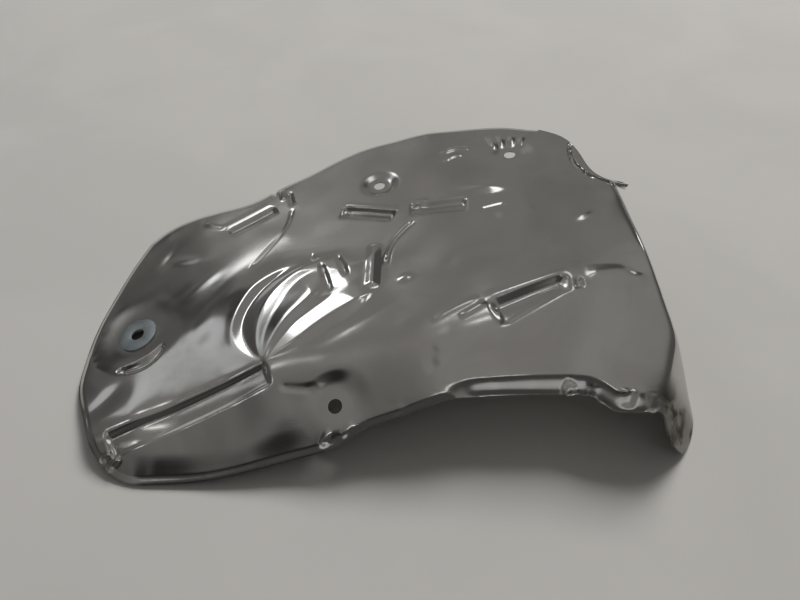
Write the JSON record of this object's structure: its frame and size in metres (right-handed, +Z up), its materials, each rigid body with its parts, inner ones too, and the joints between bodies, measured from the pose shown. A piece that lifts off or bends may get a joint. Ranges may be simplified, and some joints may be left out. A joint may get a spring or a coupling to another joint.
{
  "type": "exhaust heat shield",
  "caption": "Pressed bright sheet-metal heat shield for an exhaust silencer, with ribs, wrinkles, bolt seats, a down-turned side and a washer in one seat.",
  "frame": {"origin": "centre of the bounding box on the table, under the shield as it lies", "axes": "+X along the length towards the down-turned side, +Y from the open front edge to the back edge, +Z up"},
  "size_m": [0.376, 0.271, 0.0728],
  "materials": {
    "sheet": "bright rolled sheet, slightly smudged",
    "washer": "zinc plated"
  },
  "bodies": {
    "root": {"shield_sheet": "sheet", "washer": "washer"}
  },
  "joints": []
}
